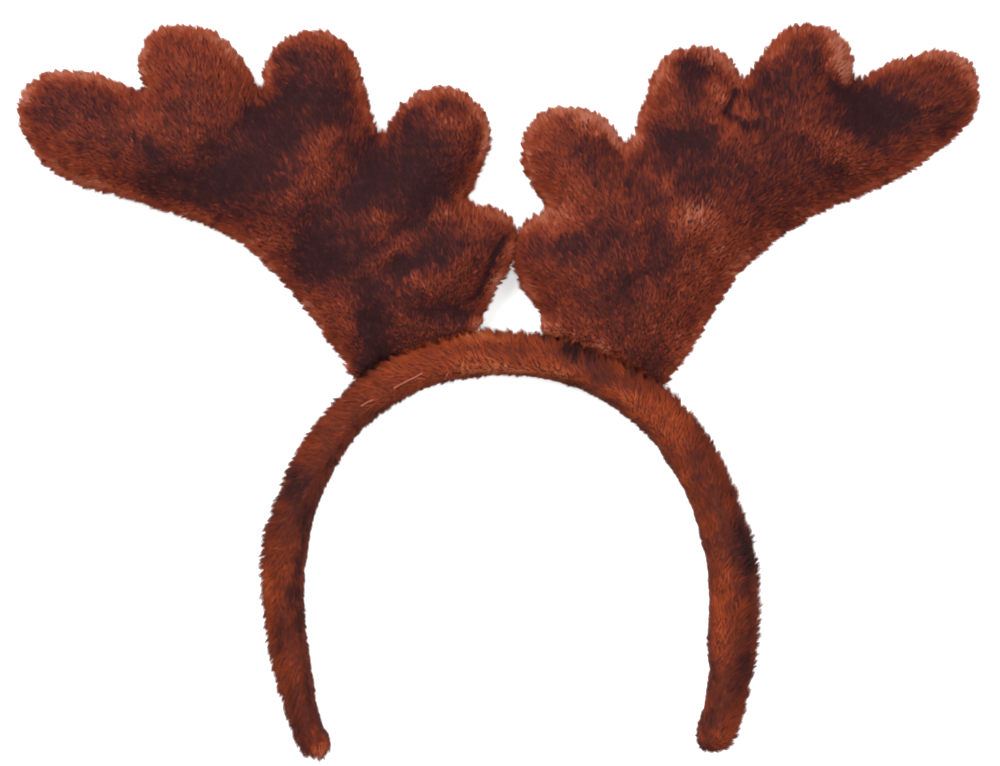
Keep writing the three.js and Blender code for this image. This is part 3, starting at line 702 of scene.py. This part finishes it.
def ramp(nodes, stops):
    node = nodes.new("ShaderNodeValToRGB")
    elements = node.color_ramp.elements
    elements[0].position, elements[1].position = stops[0][0], stops[-1][0]
    elements[0].color, elements[1].color = linear(stops[0][1]), linear(stops[-1][1])
    for place, colour in stops[1:-1]:
        elements.new(place).color = linear(colour)
    return node


def pile_material(name, tones):
    """Strands: the map's U is how light a strand is, and V how far along it. Along V, painted shade
    darkens the roots and the tips a little.
    """
    material, nodes, links, shader = new_material(name)
    place = nodes.new("ShaderNodeUVMap")
    place.uv_map = "OFBake"
    split = nodes.new("ShaderNodeSeparateXYZ")
    links.new(place.outputs["UV"], split.inputs["Vector"])
    tone = ramp(nodes, tones)
    # painted shade along the strand, at its roots and its tips
    shade = ramp(nodes, PAINTED_STRAND_SHADE)
    links.new(split.outputs["X"], tone.inputs["Fac"])
    links.new(split.outputs["Y"], shade.inputs["Fac"])
    mix = nodes.new("ShaderNodeMix")
    mix.data_type = "RGBA"
    mix.blend_type = "MULTIPLY"
    mix.inputs["Factor"].default_value = 1.0
    links.new(tone.outputs["Color"], mix.inputs["A"])
    links.new(shade.outputs["Color"], mix.inputs["B"])
    links.new(mix.outputs["Result"], shader.inputs["Base Color"])
    rough = nodes.new("ShaderNodeMapRange")
    rough.inputs["To Min"].default_value = 0.85
    rough.inputs["To Max"].default_value = 0.6
    links.new(split.outputs["Y"], rough.inputs["Value"])
    links.new(rough.outputs["Result"], shader.inputs["Roughness"])
    shader.inputs["Specular IOR Level"].default_value = 0.08
    shader.inputs["Sheen Weight"].default_value = 0.02
    shader.inputs["Sheen Roughness"].default_value = 0.5
    return material


def backing_material(name, dark, light):
    """The knitted ground of the plush, which shows only between the strands. Its colours are darker than
    the pile's, as painted shade in the gaps.
    """
    material, nodes, links, shader = new_material(name)
    place = nodes.new("ShaderNodeTexCoord")
    noise = nodes.new("ShaderNodeTexNoise")
    noise.inputs["Scale"].default_value = 420
    noise.inputs["Detail"].default_value = 4
    links.new(place.outputs["Object"], noise.inputs["Vector"])
    colour = ramp(nodes, ((0.3, dark), (0.7, light)))
    links.new(noise.outputs["Fac"], colour.inputs["Fac"])
    links.new(colour.outputs["Color"], shader.inputs["Base Color"])
    bump = nodes.new("ShaderNodeBump")
    bump.inputs["Strength"].default_value = 0.6
    bump.inputs["Distance"].default_value = 0.4 * MM
    links.new(noise.outputs["Fac"], bump.inputs["Height"])
    links.new(bump.outputs["Normal"], shader.inputs["Normal"])
    shader.inputs["Roughness"].default_value = 0.95
    shader.inputs["Specular IOR Level"].default_value = 0.1
    return material


# Painted shade along a strand: the roots a little darker, as where the strands shade each other, and the
# tips darker to offset the light that they catch.
PAINTED_STRAND_SHADE = ((0.0, (240, 236, 236)), (0.4, (255, 255, 255)), (1.0, (238, 236, 235)))
# The pile's colours by tone. The dark end colours the painted shade of hollows and creases, the light
# end the painted light of ridges and rims, and between them lie the tufts' own differing tones.
ANTLER_TONES = (
    (0.0, (37, 16, 20)), (0.2, (61, 24, 23)), (0.42, (96, 38, 24)), (0.65, (124, 51, 29)),
    (0.85, (143, 73, 51)), (1.0, (158, 96, 77)),
)
BAND_TONES = (
    (0.0, (36, 17, 19)), (0.2, (60, 25, 22)), (0.42, (99, 39, 20)), (0.65, (130, 53, 24)),
    (0.85, (150, 71, 39)), (1.0, (166, 92, 60)),
)
antler_pile_material = pile_material("antler_pile", ANTLER_TONES)
band_pile_material = pile_material("band_pile", BAND_TONES)
# The backing is darker than the pile: painted shade in the gaps between the strands, on the plush's
# knitted ground.
antler_backing = backing_material("antler_backing", (34, 17, 17), (62, 31, 28))
band_backing = backing_material("band_backing", (52, 24, 20), (82, 37, 26))


# The stuffed bodies

def joined_copy(name, nodes):
    """The solids of the nodes in one mesh. Two panels are drawn into each other at their seam."""
    points, faces, first = [], [], 0
    for node in nodes:
        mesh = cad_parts[node].data
        co = points_of(mesh)
        if len(nodes) > 1:
            near_seam = np.abs(co[:, 2] - SEAM_LEVEL) < SEAM_REACH
            towards = np.sign(SEAM_LEVEL - co[near_seam, 2])
            co[near_seam, 2] += towards * 2 * SEAM_OVERLAP
        points.append(co)
        faces.append(triangles_of(mesh) + first)
        first += len(co)
    return mesh_object(name, np.vstack(points), np.vstack(faces))


def remesh(obj):
    modifier = obj.modifiers.new("remesh", "REMESH")
    modifier.mode = "VOXEL"
    modifier.voxel_size = CORE_VOXEL
    apply_modifiers(obj)


def sink(obj, nap, pile, near_band, edge_rows):
    """Makes room for the pile, and brings the edges to where the photograph has them."""
    points, edges, tri = points_of(obj.data), edges_of(obj.data), triangles_of(obj.data)
    points = relaxed(points, edges, CORE_RELAX)
    normals = unit(relaxed(normals_of(points, tri), edges, 2))
    direction, length, _ = strand_ways(points, normals, nap, pile)
    height = length * (direction * normals).sum(1)
    if near_band:
        height = height * smoothstep(out_of_band(points), FOOT_NEAR, FOOT_FAR)
    height = relaxed(height[:, None], edges, 3)
    points = points - normals * height * PILE_SINK
    points = points + normals * [1, 1, 0] * (row_total(points, edge_rows) * MM)[:, None]
    points[:, 2] = np.maximum(points[:, 2], LEAST_HEIGHT)
    set_points(obj.data, points)


def inflate(obj):
    """Stuffing: a short cloth run under pressure, held along the seam."""
    before = points_of(obj.data)
    normals = normals_of(before, triangles_of(obj.data))
    group = obj.vertex_groups.new(name="seam")
    held = np.flatnonzero(np.abs(normals[:, 2]) < RIM_FACING)
    group.add([int(i) for i in held], 1.0, "REPLACE")
    cloth = obj.modifiers.new("stuffing", "CLOTH")
    settings = cloth.settings
    settings.quality = 5
    settings.mass = CLOTH_MASS
    settings.use_pressure = True
    settings.uniform_pressure_force = CLOTH_PRESSURE
    settings.effector_weights.gravity = 0
    settings.tension_stiffness = CLOTH_STIFFNESS
    settings.compression_stiffness = CLOTH_STIFFNESS
    settings.bending_stiffness = CLOTH_BENDING
    settings.vertex_group_mass = "seam"
    cloth.point_cache.frame_start = 1
    cloth.point_cache.frame_end = CLOTH_FRAMES
    for number in range(1, CLOTH_FRAMES + 1):
        bpy.context.scene.frame_set(number)
    apply_modifiers(obj)
    bpy.context.scene.frame_set(1)
    moved = points_of(obj.data) - before
    reach = np.linalg.norm(moved, axis=1, keepdims=True)
    moved = moved * np.minimum(1, CLOTH_CAP / np.maximum(reach, 1e-9))
    points = before + moved
    points[:, 2] = np.maximum(points[:, 2], LEAST_HEIGHT)
    set_points(obj.data, points)
    obj.vertex_groups.clear()


def fold(obj, folds):
    points = points_of(obj.data)
    normals = normals_of(points, triangles_of(obj.data))
    tone = fold_tones(points, normals, folds)
    set_points(obj.data, points + normals * (tone * FOLD_DEPTH)[:, None])


def plush_core(name, nodes, nap, pile, folds, edge_rows, backing):
    """The stuffed body that takes the place of the nodes' solids."""
    obj = joined_copy(name, nodes)
    remesh(obj)
    sink(obj, nap, pile, len(nodes) > 1, edge_rows)
    inflate(obj)
    fold(obj, folds)
    obj.data.materials.clear()
    obj.data.materials.append(backing)
    obj.data.shade_smooth()
    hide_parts(*nodes)
    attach(obj, BODY)
    return obj


# The pile

def scatter(points, tri, weights, number, rng):
    """That many places on the mesh, spread evenly but for the weights, with normals."""
    a, b, c = points[tri[:, 0]], points[tri[:, 1]], points[tri[:, 2]]
    area = np.linalg.norm(np.cross(b - a, c - a), axis=1) * weights[tri].mean(1)
    share = area / area.sum() * number
    start = np.cumsum(share)
    picks = np.searchsorted(start, (np.arange(number) + rng.random(number)) * (start[-1] / number))
    picks = np.minimum(picks, len(tri) - 1)
    u, v = rng.random(number), rng.random(number)
    over = u + v > 1
    u[over], v[over] = 1 - u[over], 1 - v[over]
    normals = normals_of(points, tri)
    na, nb, nc = normals[tri[picks, 0]], normals[tri[picks, 1]], normals[tri[picks, 2]]
    w = 1 - u - v
    place = a[picks] * w[:, None] + b[picks] * u[:, None] + c[picks] * v[:, None]
    normal = na * w[:, None] + nb * u[:, None] + nc * v[:, None]
    return place, unit(normal)


def clump_of(places, size, rng):
    """For each place the number of the clump centre nearest to it, and the centres."""
    mixed = places[rng.permutation(len(places))]
    cells = np.floor(mixed / size).astype(np.int64)
    _, firsts = np.unique(cells, axis=0, return_index=True)
    centres = mixed[np.sort(firsts)]
    tree = tree_of(centres)
    nearest = np.array([tree.find(place)[1] for place in places])
    return nearest, centres


def outline_share(places, outline):
    """One at the outline of a body, seen from the front, and less and less towards its middle."""
    tree = tree_of(outline * [1, 1, 0])
    distance = np.array([tree.find(place)[2] for place in places * [1, 1, 0]])
    return np.exp(-((distance / PAINTED_RIM_REACH) ** 2))


def tufts_of(roots, rim, pile, rng):
    """Which strands stand at a rim, the number and size of each strand's tuft, and the centres."""
    at_rim = rim > rng.random(len(roots))
    small, centres = clump_of(roots, pile["clump"], rng)
    large, more = clump_of(roots, pile["rim_clump"], rng)
    tuft = np.where(at_rim, large + len(centres), small)
    size = np.where(at_rim, pile["rim_clump"], pile["clump"])
    return at_rim, tuft, size, np.vstack([centres, more])


def strand_tips(roots, normal, way, length, rim, pile, rng):
    """The ends of the strands, the tuft of each, and the number of tufts. A tuft is longest in its
    middle and turns from the nap as one, and its strands lean together."""
    number = len(roots)
    at_rim, tuft, size, centres = tufts_of(roots, rim, pile, rng)
    aside = np.linalg.norm(roots - centres[tuft], axis=1) / (size / 2)
    dome = np.where(at_rim, RIM_DOME, CLUMP_DOME)
    length = length * (TUFT_TOP - dome * np.clip(aside, 0, 1.1) ** 2) * rng.uniform(0.92, 1.08, number)
    length = length * np.where(at_rim, rng.uniform(*pile["rim_length"], len(centres))[tuft], 1)
    stray = (rng.normal(size=len(centres))[tuft] * pile["stray"])[:, None]
    way = way * np.cos(stray) + np.cross(normal, way) * np.sin(stray)
    tips = roots + way * length[:, None]

    count = np.bincount(tuft, minlength=len(centres)).astype(float)
    mean_tip = np.column_stack([np.bincount(tuft, tips[:, k], len(centres)) for k in range(3)])
    mean_way = np.column_stack([np.bincount(tuft, way[:, k], len(centres)) for k in range(3)])
    mean_tip = mean_tip / np.maximum(count, 1)[:, None]
    ahead = mean_tip + unit(mean_way) * pile["length"] * 0.35
    gather = np.where(at_rim, pile["rim_gather"], pile["gather"])
    gather = (gather * rng.uniform(0.5, 1.2, number))[:, None]
    gap = ahead[tuft] - tips
    reach = np.linalg.norm(gap, axis=1, keepdims=True)
    gather = gather * np.clip(1.6 * size[:, None] / np.maximum(reach, 1e-9), 0, 1)
    tips = tips + gap * gather
    tips += rng.normal(size=tips.shape) * pile["jitter"]
    tips[:, 2] = np.maximum(tips[:, 2], PILE_FLOOR)
    return tips, tuft, len(centres)


def painted_rim_glow(roots, normal, core):
    """Painted light round the outline, in place of the light that comes through the tufts, a little
    lighter towards the top, except where the antlers are sewn on.
    """
    points = points_of(core.data)
    normals = normals_of(points, triangles_of(core.data))
    at_outline = (np.abs(normals[:, 2]) < OUTLINE_FACING) & (out_of_band(points) > PAINTED_RIM_REACH)
    return outline_share(roots, points[at_outline]) * (0.95 + 0.15 * normal[:, 1])


def surface_tones(roots, normal, core, folds, pile, rng):
    """How light the pile is at each root, before its tufts differ: the rows' painted shade and light,
    patches that differ at random, and painted light round the outline.
    """
    drift = []
    for _ in range(2):
        broad = 1.3 * MM * waves(roots, rng, 13 * MM)
        drift.append(broad + 0.7 * MM * waves(roots, rng, 4 * MM))
    drifted = roots + np.column_stack([*drift, np.zeros(len(roots))])
    # painted shade in hollows and painted light on ridges and rims, from the rows
    tone = BASE_TONE + ROW_CONTRAST * fold_tones(roots, normal, folds, drifted)
    tone += 0.04 * waves(roots, rng, 30 * MM) + pile["mottle"] * waves(roots, rng, 6 * MM)
    # painted light round the outline, in place of light coming through the tufts
    if pile["painted_rim_light"]:
        tone += painted_rim_glow(roots, normal, core) * pile["painted_rim_light"]
    return tone


def strand_mesh(name, roots, tips, normal, surface, tone, pile, rng):
    """Thin pyramids from the roots to the tips. The map has how light a strand is and how far along it
    a corner is. Light falls on the pile much as on the surface under it."""
    number = len(roots)
    way = unit(tips - roots)
    roots = roots - way * PILE_ROOT
    roots[:, 2] = np.maximum(roots[:, 2], PILE_FLOOR)
    across = unit(np.cross(way, normal + 1e-4))
    lift = np.cross(across, way)
    width = (pile["width"] * rng.uniform(0.75, 1.25, number))[:, None]
    spin = rng.uniform(-0.5, 0.5, number)
    corners = []
    for turn in (0, 2 * math.pi / 3, 4 * math.pi / 3):
        angle = (turn + spin)[:, None]
        corners.append(roots + width * (np.cos(angle) * lift + np.sin(angle) * across))
    co = np.stack([*corners, tips], axis=1).reshape(-1, 3)
    co[:, 2] = np.maximum(co[:, 2], PILE_FLOOR / 2)
    first = (np.arange(number) * 4)[:, None, None]
    faces = (first + np.array([[0, 1, 3], [1, 2, 3], [2, 0, 3], [0, 2, 1]])).reshape(-1, 3)
    obj = mesh_object(name, co, faces)
    obj.data.shade_smooth()

    layer = obj.data.uv_layers.new(name="OFBake")
    sideways = np.array([-0.006, 0.006, 0.0, 0.0])
    up = np.array([0.0, 0.0, 0.015, 1.0])
    corner = faces % 4
    uv = np.stack([tone[faces // 4] + sideways[corner], up[corner]], axis=-1)
    layer.data.foreach_set("uv", uv.astype(np.float32).ravel())

    own = np.stack([unit(c - roots) for c in corners] + [way], axis=1)
    shading = unit(SURFACE_SHADING * surface[:, None, :] + OWN_SHADING * own)
    obj.data.normals_split_custom_set_from_vertices(shading.reshape(-1, 3).tolist())
    return obj


def pile_object(name, core, pile, nap, folds, side, number, material, seed):
    """The strands on one side of a body."""
    rng = np.random.default_rng(seed)
    points, tri = points_of(core.data), triangles_of(core.data)
    normals = normals_of(points, tri)
    facing = smoothstep(normals[:, 2], -0.35, -0.15)
    weights = 1 - facing if side == "back" else facing
    weights = weights * (0.7 + 0.9 * (1 - np.abs(normals[:, 2])))
    roots, normal = scatter(points, tri, weights + 1e-6, number, rng)
    way, length, off = strand_ways(roots, normal, nap, pile)
    rim = rim_share(normal)
    tips, tuft, tufts = strand_tips(roots, normal, way, length, rim, pile, rng)

    tone = surface_tones(roots, normal, core, folds, pile, rng)
    # painted light on rim tufts where the nap runs off the edge, and painted shade where it runs in
    tone += rim * PAINTED_OFF_EDGE_LIGHT * off
    tone += rng.normal(size=tufts)[tuft] * pile["tuft_tone"] + rng.normal(size=number) * 0.02
    tone = np.clip(tone, *TONE_RANGE)

    through = np.array([0, 0, -pile["through"] if side == "back" else pile["through"]])
    surface = unit(normal + through * rim[:, None])
    obj = strand_mesh(name, roots, tips, normal, surface, tone, pile, rng)
    obj.data.materials.append(material)
    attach(obj, BODY)


antlers = (
    ("antler_left", LEFT_NODES, LEFT_NAP, LEFT_FOLDS, LEFT_EDGES, 21),
    ("antler_right", RIGHT_NODES, RIGHT_NAP, RIGHT_FOLDS, RIGHT_EDGES, 31),
)
antler_sides = (("front", STRANDS_FRONT), ("front_fill", STRANDS_FILL), ("back", STRANDS_BACK))
for name, nodes, nap, folds, edge_rows, seed in antlers:
    core = plush_core(
        f"{name}_body", nodes, nap, ANTLER_PILE, folds, edge_rows, antler_backing
    )
    for side, number in antler_sides:
        pile_object(f"{name}_pile_{side}", core, ANTLER_PILE, nap, folds, side, number,
                    antler_pile_material, seed + len(side))
band = plush_core(
    "band_body", BAND_NODES, band_nap, BAND_PILE, BAND_FOLDS, BAND_EDGES, band_backing
)
for side, number in (("front", STRANDS_BAND), ("back", STRANDS_BACK)):
    pile_object(f"band_pile_{side}", band, BAND_PILE, band_nap, BAND_FOLDS, side, number,
                band_pile_material, 41 + len(side))

# The pale thread of the band's seam shows here and there between the tufts
THREAD_RADIUS = 0.17 * MM
THREAD_ABOVE = 0.95 * MM  # over the body, so that it lies among the tips of the pile
THREAD_SIDES = 6
THREAD_STITCHES = (  # places in millimetres of the frame
    ((-46, -5), (-44, -3.8), (-42, -3)),
    ((-35, 1), (-31, 3.2), (-28, 4.6), (-25.5, 6)),
    ((-18, 4), (-17.4, 5), (-17, 6)),
)


def seam_thread(name, stitches, core, material):
    """A round thread along each stitch, just over the body, with its ends sunk in the pile."""
    points = points_of(core.data)
    normals = normals_of(points, triangles_of(core.data))
    top = points[normals[:, 2] > 0.3]
    angle = np.arange(THREAD_SIDES) * 2 * math.pi / THREAD_SIDES
    rings, faces = [], []
    first = 0
    for stitch in stitches:
        corner = np.array(stitch) * MM
        share = np.linspace(0, len(corner) - 1, 4 * len(corner))
        line = np.column_stack([np.interp(share, np.arange(len(corner)), corner[:, k]) for k in (0, 1)])
        near = np.argmin(((top[None, :, :2] - line[:, None]) ** 2).sum(2), axis=1)
        line = np.column_stack([line, top[near, 2] + THREAD_ABOVE])
        line = np.vstack([line[:1] - [0, 0, THREAD_ABOVE], line, line[-1:] - [0, 0, THREAD_ABOVE]])
        way = unit(np.gradient(line, axis=0))
        side = unit(np.cross(way, [0.3, 0.2, 1.0]))
        lift = np.cross(side, way)
        for i in range(len(line)):
            offsets = np.cos(angle)[:, None] * side[i] + np.sin(angle)[:, None] * lift[i]
            rings.append(line[i] + THREAD_RADIUS * offsets)
            if i == 0:
                continue
            low, high = first + (i - 1) * THREAD_SIDES, first + i * THREAD_SIDES
            for k in range(THREAD_SIDES):
                after = (k + 1) % THREAD_SIDES
                faces.append((low + k, low + after, high + after, high + k))
        first += len(line) * THREAD_SIDES
    obj = mesh_object(name, np.vstack(rings), np.array(faces))
    obj.data.shade_smooth()
    obj.data.materials.append(material)
    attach(obj, BODY)


thread_material, _, _, thread_shader = new_material("seam_thread")
thread_shader.inputs["Base Color"].default_value = linear((146, 76, 56))
thread_shader.inputs["Roughness"].default_value = 0.6
seam_thread("band_seam_thread", THREAD_STITCHES, band, thread_material)

# Floor, light and camera
FLOOR_HALF = 2.5
FLOOR_GREY = (228, 228, 228)
floor = mesh_object(
    "floor",
    np.array([[-1, -1, 0], [1, -1, 0], [1, 1, 0], [-1, 1, 0]]) * FLOOR_HALF,
    np.array([[0, 1, 2, 3]]),
)
floor_material, _, _, floor_shader = new_material("pale_floor")
floor_shader.inputs["Base Color"].default_value = linear(FLOOR_GREY)
floor_shader.inputs["Roughness"].default_value = 0.9
floor_shader.inputs["Emission Color"].default_value = (1, 1, 1, 1)
floor_shader.inputs["Emission Strength"].default_value = 0.55
floor.data.materials.append(floor_material)

world = bpy.data.worlds.new("studio")
world.use_nodes = True
world.node_tree.nodes["Background"].inputs["Color"].default_value = (1, 1, 1, 1)
world.node_tree.nodes["Background"].inputs["Strength"].default_value = 1.05
bpy.context.scene.world = world


def soft_light(name, place, size, power):
    """A round lamp that points at the middle of the frame."""
    light = bpy.data.lights.new(name, "AREA")
    light.shape = "DISK"
    light.size = size
    light.energy = power
    obj = bpy.data.objects.new(name, light)
    bpy.context.scene.collection.objects.link(obj)
    obj.location = place
    obj.rotation_euler = (-Vector(place)).to_track_quat("-Z", "Y").to_euler()


soft_light("key", (-0.5, 0.6, 1.5), 0.9, 32)
soft_light("fill", (0.9, 0.2, 1.5), 1.3, 14)

# The photograph is 1000 by 766 pixels of 0.3375 mm, seen from straight in front
PIXEL = 0.3375 * MM
PHOTO_WIDTH = 1000  # pixels
CAMERA_PLACE = (0.5 * MM, 2.7 * MM)  # the middle of the photograph
CAMERA_HEIGHT = 1.3
SENSOR = 36
PIXEL_FILTER = 2.2  # the photograph isn't quite sharp
camera_data = bpy.data.cameras.new("camera")
camera_data.sensor_width = SENSOR
camera_data.sensor_fit = "HORIZONTAL"
camera_data.lens = SENSOR * (CAMERA_HEIGHT - SEAM_LEVEL) / (PHOTO_WIDTH * PIXEL)
camera = bpy.data.objects.new("camera", camera_data)
camera.location = (*CAMERA_PLACE, CAMERA_HEIGHT)
bpy.context.scene.collection.objects.link(camera)
bpy.context.scene.camera = camera
bpy.context.scene.view_settings.view_transform = "Standard"
bpy.context.scene.cycles.filter_width = PIXEL_FILTER
